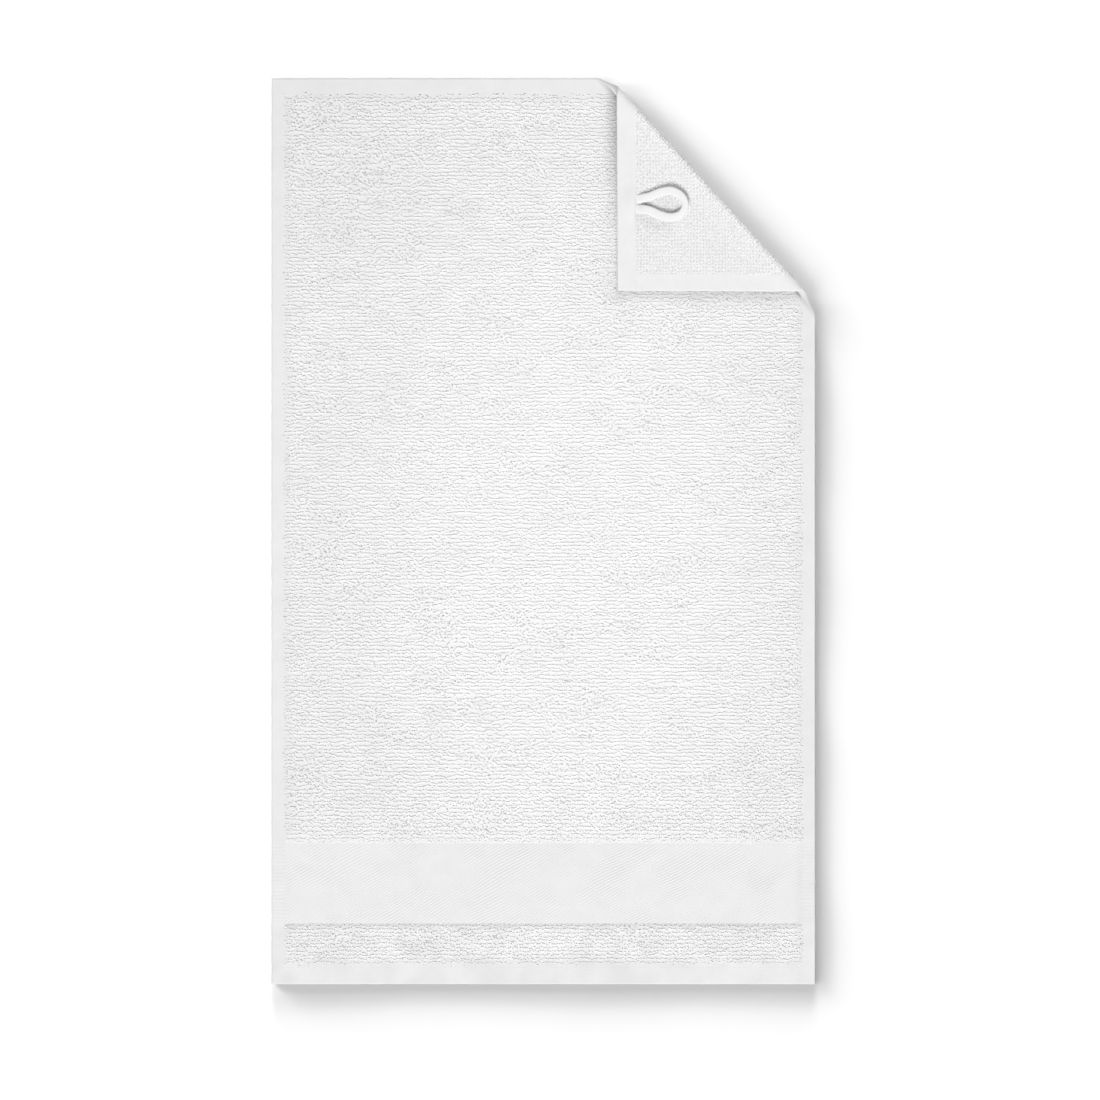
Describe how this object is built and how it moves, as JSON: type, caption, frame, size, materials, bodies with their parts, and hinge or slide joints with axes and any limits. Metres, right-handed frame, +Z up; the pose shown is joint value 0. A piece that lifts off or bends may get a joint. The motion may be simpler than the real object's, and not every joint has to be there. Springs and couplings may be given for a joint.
{
  "type": "hand towel",
  "caption": "Terry hand towel lying flat with a top corner folded over, a flat woven band near its lower end, turned hems and a tape loop to hang it by.",
  "frame": {"origin": "on the surface the towel lies on, under the middle of its outline", "axes": "+X across the towel, +Y along it towards the end with the folded corner, +Z up out of its face"},
  "size_m": [0.3, 0.5, 0.0091],
  "materials": {
    "terry": "white cotton terry with looped pile, flat woven band and plain woven hems, matt",
    "tape": "white woven cotton tape, matt"
  },
  "bodies": {
    "root": {"towel": "terry", "hanging_loop": "tape"}
  },
  "joints": []
}
